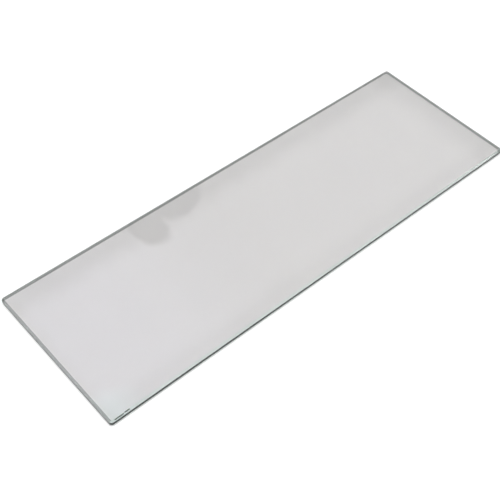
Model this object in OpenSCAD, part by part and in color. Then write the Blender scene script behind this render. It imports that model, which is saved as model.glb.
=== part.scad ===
// Glass shelf of a refrigerator: one rectangular sheet of toughened float glass.
//
// The sheet lies flat with its underside on Z = 0 and its middle over the origin.
// X runs along the long front edge, Y from the front edge to the rear edge, Z upwards.
// All lengths are in millimetres.

/* [Sheet] */
// Length along the front edge, across the inside of the cabinet
sheet_length = 450; // [250:1:600]
// Depth from the front edge to the rear edge
sheet_depth = 149; // [100:1:400]
// Thickness of the glass
glass_thickness = 6; // [4:0.5:12]

/* [Ground edge] */
// Radius to which the four corners are dubbed in plan
corner_radius = 3; // [2:0.5:20]
// Leg of the 45 degree arris ground along the upper rim
upper_arris = 1.6; // [0.5:0.1:1.9]
// Leg of the 45 degree arris ground along the lower rim
lower_arris = 1.6; // [0.5:0.1:1.9]

/* [Hidden] */
// Arc segments of a full circle in the preview
$fn = 96;
// Distances from the middle of the sheet to the centres of the corner arcs
corner_x = sheet_length / 2 - corner_radius;
corner_y = sheet_depth / 2 - corner_radius;
// Tint of clear float glass
glass_colour = [0.80, 0.87, 0.85, 0.55];

// Right half of the sheet's cross-section, from its middle out to the ground edge.
// The edge is ground flat, and an arris takes the sharpness off each rim.
function half_section(reach) = [
    [0, 0],
    [reach - lower_arris, 0],
    [reach, lower_arris],
    [reach, glass_thickness - upper_arris],
    [reach - upper_arris, glass_thickness],
    [0, glass_thickness],
];

// The half section and its mirror image: the section between two opposite edges
module full_section(reach) {
    polygon(half_section(reach));
    mirror([1, 0])
        polygon(half_section(reach));
}

// A band of the sheet that runs along X, with both long edges ground
module lengthwise_band() {
    rotate([90, 0, 90])
        linear_extrude(height = 2 * corner_x, center = true)
            full_section(sheet_depth / 2);
}

// A band of the sheet that runs along Y, with both short edges ground
module crosswise_band() {
    rotate([90, 0, 0])
        linear_extrude(height = 2 * corner_y, center = true)
            full_section(sheet_length / 2);
}

// The turned form that the grinding wheel leaves round a corner: the same edge
// section, carried round the corner's centre
module dubbed_corner() {
    rotate_extrude()
        polygon(half_section(corner_radius));
}

// The whole sheet: two crossing bands, and a dubbed corner in each of their notches
module glass_shelf() {
    color(glass_colour)
        union() {
            lengthwise_band();
            crosswise_band();
            for (side_x = [-1, 1], side_y = [-1, 1])
                translate([side_x * corner_x, side_y * corner_y, 0])
                    dubbed_corner();
        }
}

glass_shelf();
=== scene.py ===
"""Looks of a glass refrigerator shelf: one flat sheet of toughened float glass with a ground edge."""

import math

import bpy
from mathutils import Matrix, Vector


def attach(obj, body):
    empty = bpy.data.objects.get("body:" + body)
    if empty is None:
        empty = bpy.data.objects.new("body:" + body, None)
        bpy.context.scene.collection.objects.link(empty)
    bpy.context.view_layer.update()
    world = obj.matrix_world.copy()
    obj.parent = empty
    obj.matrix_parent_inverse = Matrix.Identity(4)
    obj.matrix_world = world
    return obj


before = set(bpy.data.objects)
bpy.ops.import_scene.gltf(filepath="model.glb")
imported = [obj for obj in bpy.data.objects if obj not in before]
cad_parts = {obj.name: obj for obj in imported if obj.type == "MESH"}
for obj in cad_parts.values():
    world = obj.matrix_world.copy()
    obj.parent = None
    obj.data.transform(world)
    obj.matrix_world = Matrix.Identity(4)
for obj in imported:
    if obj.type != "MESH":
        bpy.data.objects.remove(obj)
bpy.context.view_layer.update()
bpy.ops.object.select_all(action="DESELECT")

# Camera
# A normal lens looks down on the front left corner of the shelf. Its place comes from a fit
# to the outlines and to the rims of the ground edge, so it needs no shift.
CAMERA_AZIMUTH = math.radians(-43.447)
CAMERA_ELEVATION = math.radians(49.699)
CAMERA_ROLL = math.radians(2.690)
CAMERA_DISTANCE = 0.80469
CAMERA_AIM = Vector((-0.03519, -0.01221, 0.0))
CAMERA_SENSOR = 36.0
CAMERA_LENS = 68.25

towards_camera = Vector((
    math.sin(CAMERA_AZIMUTH) * math.cos(CAMERA_ELEVATION),
    -math.cos(CAMERA_AZIMUTH) * math.cos(CAMERA_ELEVATION),
    math.sin(CAMERA_ELEVATION),
))
camera_data = bpy.data.cameras.new("camera")
camera_data.sensor_width = CAMERA_SENSOR
camera_data.lens = CAMERA_LENS
camera = bpy.data.objects.new("camera", camera_data)
bpy.context.scene.collection.objects.link(camera)
camera.location = CAMERA_AIM + towards_camera * CAMERA_DISTANCE
level_view = (-towards_camera).to_track_quat("-Z", "Y").to_matrix()
camera.rotation_euler = (level_view @ Matrix.Rotation(CAMERA_ROLL, 3, "Z")).to_euler()
bpy.context.scene.camera = camera

# Glass sheet
# One sheet of clear float glass, cut, ground all round with a flat edge and two arrises, and
# then toughened. The wheel marks are polished out of the front edge, which the eye meets, and
# the other three edges are left satin. Painted shade darkens the faces in soft bands and two
# patches, and a painted glint lightens them at the front left corner.
GLASS_IOR = 1.45
IRON_TINT = {"Color": (0.35, 0.65, 0.51, 1.0), "Density": 4.0}
# The faces' light grey tint is painted shade: it darkens the table seen through the sheet.
SHADED_FACE_COLOUR = "f3f1f1"
COOL_SHADED_FACE_COLOUR = "f4f2f4"
# Painted glint: the lighter, cooler colour of a soft spot at the front left corner.
CORNER_GLINT_COLOUR = "f6fcfd"
# Painted shade: the darker colour of the bands and patches on the faces.
PAINTED_SHADE_COLOUR = "e4e2e2"
POLISHED_ARRIS_COLOUR = "e2efea"
POLISHED_LAND_COLOUR = "b8dccd"
# Painted shade in the front land's reflection: this specular tint dims what it mirrors and turns it
# green.
LAND_REFLECTION_SHADE = (0.40, 0.60, 0.52, 1.0)
SATIN_ARRIS_COLOUR = "929896"
SATIN_LAND_COLOUR = "868c8a"
SATIN_ROUGHNESS = 0.2
FRONT_RIM_Y = -0.0726
UPPER_RIM_Z = 0.0043
PAINTED_SHADE_BANDS = [
    ("Y", 0.040, 0.068, 0.50),
    ("Y", -0.050, -0.068, 0.25),
    ("X", 0.185, 0.222, 0.45),
    ("X", -0.212, -0.222, 0.15),
    ("X", -0.140, -0.050, 0.10),
]
PAINTED_SHADE_PATCHES = [
    ((-0.088, 0.058, 0.0), (0.018, 0.025, 1.0)),
    ((-0.050, 0.069, 0.0), (0.030, 0.020, 1.0)),
]


def linear(code):
    """Linear colour of an sRGB hex value."""
    parts = [int(code[i:i + 2], 16) / 255 for i in (0, 2, 4)]
    return (*[c / 12.92 if c <= 0.04045 else ((c + 0.055) / 1.055) ** 2.4 for c in parts], 1.0)


def add_node(tree, kind, settings=None, links=None):
    """Adds a node: settings go to its inputs or its own properties, links come into its inputs."""
    node = tree.nodes.new(kind)
    for name, value in (settings or {}).items():
        if isinstance(name, int) or name in node.inputs:
            node.inputs[name].default_value = value
        else:
            setattr(node, name, value)
    for name, socket in (links or {}).items():
        tree.links.new(socket, node.inputs[name])
    return node


def new_tree(name):
    """A new material and its empty node tree."""
    material = bpy.data.materials.new(name)
    material.use_nodes = True
    material.node_tree.nodes.clear()
    return material, material.node_tree


# Toughened float glass: faces tinted light grey as painted shade, a satin grey edge and a darker
# green front line.
float_glass, tree = new_tree("float_glass_with_ground_edge")
surface = add_node(tree, "ShaderNodeNewGeometry")
slope = add_node(tree, "ShaderNodeSeparateXYZ", links={0: surface.outputs["True Normal"]})
upright = add_node(tree, "ShaderNodeMath", {"operation": "ABSOLUTE"}, {0: slope.outputs["Z"]})
on_edge = add_node(tree, "ShaderNodeMath", {"operation": "LESS_THAN", 1: 0.95}, {
    0: upright.outputs[0],
})
on_land = add_node(tree, "ShaderNodeMath", {"operation": "LESS_THAN", 1: 0.3}, {
    0: upright.outputs[0],
})
where = add_node(tree, "ShaderNodeTexCoord")
place = add_node(tree, "ShaderNodeSeparateXYZ", links={0: where.outputs["Object"]})
by_front = add_node(tree, "ShaderNodeMath", {"operation": "LESS_THAN", 1: FRONT_RIM_Y}, {
    0: place.outputs["Y"],
})
above_land = add_node(tree, "ShaderNodeMath", {"operation": "GREATER_THAN", 1: UPPER_RIM_Z}, {
    0: place.outputs["Z"],
})

# Painted shade lies in soft darker bands, mostly along the edges, and in two patches, all with wavy
# borders.
waves = add_node(tree, "ShaderNodeTexNoise", {"Scale": 45.0, "Detail": 2.0}, {
    "Vector": where.outputs["Object"],
})
centred = add_node(tree, "ShaderNodeVectorMath", {"operation": "SUBTRACT", 1: (0.5, 0.5, 0.5)}, {
    0: waves.outputs["Color"],
})
small = add_node(tree, "ShaderNodeVectorMath", {"operation": "SCALE", "Scale": 0.014}, {
    0: centred.outputs[0],
})
wavy = add_node(tree, "ShaderNodeVectorMath", {"operation": "ADD"}, {
    0: where.outputs["Object"],
    1: small.outputs[0],
})
wavy_place = add_node(tree, "ShaderNodeSeparateXYZ", links={0: wavy.outputs[0]})
shade_parts = []
for axis, starts, full, strength in PAINTED_SHADE_BANDS:
    band = add_node(tree, "ShaderNodeMapRange", {
        "interpolation_type": "SMOOTHSTEP",
        "From Min": starts,
        "From Max": full,
        "To Max": strength,
    }, {"Value": wavy_place.outputs[axis]})
    shade_parts.append(band.outputs["Result"])
for centre, reach in PAINTED_SHADE_PATCHES:
    spot = add_node(tree, "ShaderNodeMapping", {
        "vector_type": "TEXTURE",
        "Location": centre,
        "Scale": reach,
    }, {"Vector": wavy.outputs[0]})
    ball = add_node(tree, "ShaderNodeTexGradient", {"gradient_type": "SPHERICAL"}, {
        "Vector": spot.outputs[0],
    })
    patch = add_node(tree, "ShaderNodeMapRange", {
        "interpolation_type": "SMOOTHSTEP",
        "From Max": 0.5,
    }, {"Value": ball.outputs[1]})
    shade_parts.append(patch.outputs["Result"])
painted_shade = shade_parts[0]
for part in shade_parts[1:]:
    both = add_node(tree, "ShaderNodeMath", {"operation": "ADD", "use_clamp": True}, {
        0: painted_shade,
        1: part,
    })
    painted_shade = both.outputs[0]

left_to_right = add_node(tree, "ShaderNodeMapRange", {"From Min": -0.17, "From Max": -0.03}, {
    "Value": place.outputs["X"],
})
face = add_node(tree, "ShaderNodeMix", {
    "data_type": "RGBA",
    6: linear(COOL_SHADED_FACE_COLOUR),
    7: linear(SHADED_FACE_COLOUR),
}, {0: left_to_right.outputs["Result"]})
# A painted glint makes the faces lighter and cooler in a soft spot at the front left corner.
glint_spot = add_node(tree, "ShaderNodeMapping", {
    "vector_type": "TEXTURE",
    "Location": (-0.226, -0.072, 0.0),
    "Scale": (0.040, 0.030, 1.0),
}, {"Vector": where.outputs["Object"]})
glint_ball = add_node(tree, "ShaderNodeTexGradient", {"gradient_type": "SPHERICAL"}, {
    "Vector": glint_spot.outputs[0],
})
glinted_face = add_node(tree, "ShaderNodeMix", {"data_type": "RGBA", 7: linear(CORNER_GLINT_COLOUR)}, {
    0: glint_ball.outputs[1],
    6: face.outputs[2],
})
# Painted shade darkens the faces in these bands and patches.
shade_painted_face = add_node(tree, "ShaderNodeMix", {"data_type": "RGBA", 7: linear(PAINTED_SHADE_COLOUR)}, {
    0: painted_shade,
    6: glinted_face.outputs[2],
})

# The polished front edge is minty, and the satin of the other edges is grey.
polished = add_node(tree, "ShaderNodeMix", {
    "data_type": "RGBA",
    6: linear(POLISHED_LAND_COLOUR),
    7: linear(POLISHED_ARRIS_COLOUR),
}, {0: above_land.outputs[0]})
satin = add_node(tree, "ShaderNodeMix", {
    "data_type": "RGBA",
    6: linear(SATIN_LAND_COLOUR),
    7: linear(SATIN_ARRIS_COLOUR),
}, {0: above_land.outputs[0]})
edge = add_node(tree, "ShaderNodeMix", {"data_type": "RGBA"}, {
    0: by_front.outputs[0],
    6: satin.outputs[2],
    7: polished.outputs[2],
})
colour = add_node(tree, "ShaderNodeMix", {"data_type": "RGBA"}, {
    0: on_edge.outputs[0],
    6: shade_painted_face.outputs[2],
    7: edge.outputs[2],
})

# Fine lines from the wheel run along the satin edges. The real ones are too fine to show, so
# they are drawn 0.4 mm apart.
grain_scale = add_node(tree, "ShaderNodeMapping", {"Scale": (30.0, 30.0, 2500.0)}, {
    "Vector": where.outputs["Object"],
})
grain = add_node(tree, "ShaderNodeTexNoise", {"Scale": 1.0, "Detail": 1.0}, {
    "Vector": grain_scale.outputs[0],
})
not_front = add_node(tree, "ShaderNodeMath", {"operation": "SUBTRACT", 0: 1.0}, {
    1: by_front.outputs[0],
})
ground = add_node(tree, "ShaderNodeMath", {"operation": "MULTIPLY"}, {
    0: on_edge.outputs[0],
    1: not_front.outputs[0],
})
uneven = add_node(tree, "ShaderNodeMapRange", {
    "To Min": SATIN_ROUGHNESS - 0.06,
    "To Max": SATIN_ROUGHNESS + 0.06,
}, {"Value": grain.outputs[0]})
roughness = add_node(tree, "ShaderNodeMath", {"operation": "MULTIPLY"}, {
    0: ground.outputs[0],
    1: uneven.outputs["Result"],
})
lines = add_node(tree, "ShaderNodeMath", {"operation": "MULTIPLY"}, {
    0: ground.outputs[0],
    1: grain.outputs[0],
})
relief = add_node(tree, "ShaderNodeBump", {"Strength": 0.4, "Distance": 0.00004}, {
    "Height": lines.outputs[0],
})
# The front land's reflection is dimmed and tinted green by its specular tint, painted shade for the
# shaded table it mirrors.
front_land = add_node(tree, "ShaderNodeMath", {"operation": "MULTIPLY"}, {
    0: on_land.outputs[0],
    1: by_front.outputs[0],
})
shaded_reflection = add_node(tree, "ShaderNodeMix", {
    "data_type": "RGBA",
    6: (1.0, 1.0, 1.0, 1.0),
    7: LAND_REFLECTION_SHADE,
}, {0: front_land.outputs[0]})
shader = add_node(tree, "ShaderNodeBsdfPrincipled", {
    "IOR": GLASS_IOR,
    "Transmission Weight": 1.0,
}, {
    "Base Color": colour.outputs[2],
    "Roughness": roughness.outputs[0],
    "Specular Tint": shaded_reflection.outputs[2],
    "Normal": relief.outputs[0],
})
iron = add_node(tree, "ShaderNodeVolumeAbsorption", IRON_TINT)
add_node(tree, "ShaderNodeOutputMaterial", links={
    "Surface": shader.outputs["BSDF"],
    "Volume": iron.outputs["Volume"],
})

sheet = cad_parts["glass_shelf"]
sheet.data.materials.clear()
sheet.data.materials.append(float_glass)

# Fired mark
# Two short bars of dark enamel, printed thin on the upper arris beside the front left corner
# and fired in when the sheet was toughened.
MARK_COLOUR = "3e4642"
WORN_MARK_COLOUR = "56605b"
MARK_WIDTH = 0.0009
MARK_THICKNESS = 0.00004
MARK_BARS = [(-0.2208, -0.21235, -0.07369), (-0.2117, -0.2071, -0.07344)]
ARRIS_OFFSET = 0.07891

# Fired enamel: dull and dark, a little patchy where the glass shows through.
mark_enamel, tree = new_tree("fired_enamel")
where = add_node(tree, "ShaderNodeTexCoord")
patchy = add_node(tree, "ShaderNodeTexNoise", {"Scale": 1500.0, "Detail": 2.0}, {
    "Vector": where.outputs["Object"],
})
enamel = add_node(tree, "ShaderNodeMix", {
    "data_type": "RGBA",
    6: linear(MARK_COLOUR),
    7: linear(WORN_MARK_COLOUR),
}, {0: patchy.outputs[0]})
dullness = add_node(tree, "ShaderNodeMapRange", {"To Min": 0.4, "To Max": 0.65}, {
    "Value": patchy.outputs[0],
})
shader = add_node(tree, "ShaderNodeBsdfPrincipled", links={
    "Base Color": enamel.outputs[2],
    "Roughness": dullness.outputs["Result"],
})
add_node(tree, "ShaderNodeOutputMaterial", links={"Surface": shader.outputs["BSDF"]})

for number, (left, right, y) in enumerate(MARK_BARS):
    bpy.ops.mesh.primitive_plane_add(size=1, location=(0, 0, 0))
    bar = bpy.context.object
    bar.name = f"fired_mark_{number + 1}"
    bar.scale = (right - left, MARK_WIDTH, 1.0)
    bpy.ops.object.transform_apply(location=False, rotation=False, scale=True)
    bpy.ops.object.mode_set(mode="EDIT")
    bpy.ops.mesh.select_all(action="SELECT")
    bpy.ops.mesh.bevel(affect="VERTICES", offset=MARK_WIDTH * 0.4, segments=4)
    bpy.ops.mesh.select_all(action="SELECT")
    bpy.ops.mesh.extrude_region_move(TRANSFORM_OT_translate={"value": (0, 0, MARK_THICKNESS)})
    bpy.ops.mesh.select_all(action="SELECT")
    bpy.ops.mesh.normals_make_consistent(inside=False)
    bpy.ops.object.mode_set(mode="OBJECT")
    bar.rotation_euler = (math.radians(45), 0, 0)
    bar.location = ((left + right) / 2, y, y + ARRIS_OFFSET)
    bpy.ops.object.transform_apply(location=True, rotation=True, scale=True)
    bar.data.materials.append(mark_enamel)
    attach(bar, "root")

# Table and light
# A white table in a light tent. It shows white to the eye and to the glass, and the overhead
# lamp leaves the sheet's shadow on it.
TABLE_SIZE = 6.0
TABLE_GAP = 0.0002
TABLE_COLOUR = (0.75, 0.75, 0.75, 1.0)
TABLE_GLOW = 0.30
TENT_AMBIENT = 0.45
LAMP_STRENGTH = 0.65 * math.pi
LAMP_ANGLE = math.radians(3.0)


def seen_directly(tree):
    """1 where the eye sees a place directly, in a mirror image or through glass, otherwise 0."""
    path = add_node(tree, "ShaderNodeLightPath")
    glass_ray = add_node(tree, "ShaderNodeMath", {"operation": "MAXIMUM"}, {
        0: path.outputs["Is Glossy Ray"],
        1: path.outputs["Is Transmission Ray"],
    })
    eye_ray = add_node(tree, "ShaderNodeMath", {"operation": "MAXIMUM"}, {
        0: path.outputs["Is Camera Ray"],
        1: glass_ray.outputs[0],
    })
    before_diffuse = add_node(tree, "ShaderNodeMath", {"operation": "LESS_THAN", 1: 0.5}, {
        0: path.outputs["Diffuse Depth"],
    })
    both = add_node(tree, "ShaderNodeMath", {"operation": "MULTIPLY"}, {
        0: eye_ray.outputs[0],
        1: before_diffuse.outputs[0],
    })
    return both.outputs[0]


bpy.ops.mesh.primitive_plane_add(size=TABLE_SIZE, location=(0, 0, -TABLE_GAP))
table = bpy.context.object
table.name = "table"
white_table, tree = new_tree("white_table")
glow = add_node(tree, "ShaderNodeMath", {"operation": "MULTIPLY", 1: TABLE_GLOW}, {
    0: seen_directly(tree),
})
matt = add_node(tree, "ShaderNodeBsdfDiffuse", {"Color": TABLE_COLOUR})
light = add_node(tree, "ShaderNodeEmission", {}, {"Strength": glow.outputs[0]})
both = add_node(tree, "ShaderNodeAddShader", {}, {0: matt.outputs[0], 1: light.outputs[0]})
add_node(tree, "ShaderNodeOutputMaterial", links={"Surface": both.outputs[0]})
table.data.materials.append(white_table)

lamp_data = bpy.data.lights.new("overhead_lamp", "SUN")
lamp_data.energy = LAMP_STRENGTH
lamp_data.angle = LAMP_ANGLE
lamp_data.cycles.use_multiple_importance_sampling = False
lamp = bpy.data.objects.new("overhead_lamp", lamp_data)
bpy.context.scene.collection.objects.link(lamp)

world = bpy.data.worlds.new("light_tent")
bpy.context.scene.world = world
world.use_nodes = True
tree = world.node_tree
tree.nodes.clear()
strength = add_node(tree, "ShaderNodeMapRange", {"To Min": TENT_AMBIENT, "To Max": 1.0}, {
    "Value": seen_directly(tree),
})
tent = add_node(tree, "ShaderNodeBackground", {"Color": (1, 1, 1, 1)}, {
    "Strength": strength.outputs["Result"],
})
add_node(tree, "ShaderNodeOutputWorld", links={"Surface": tent.outputs[0]})
bpy.context.scene.view_settings.view_transform = "Standard"
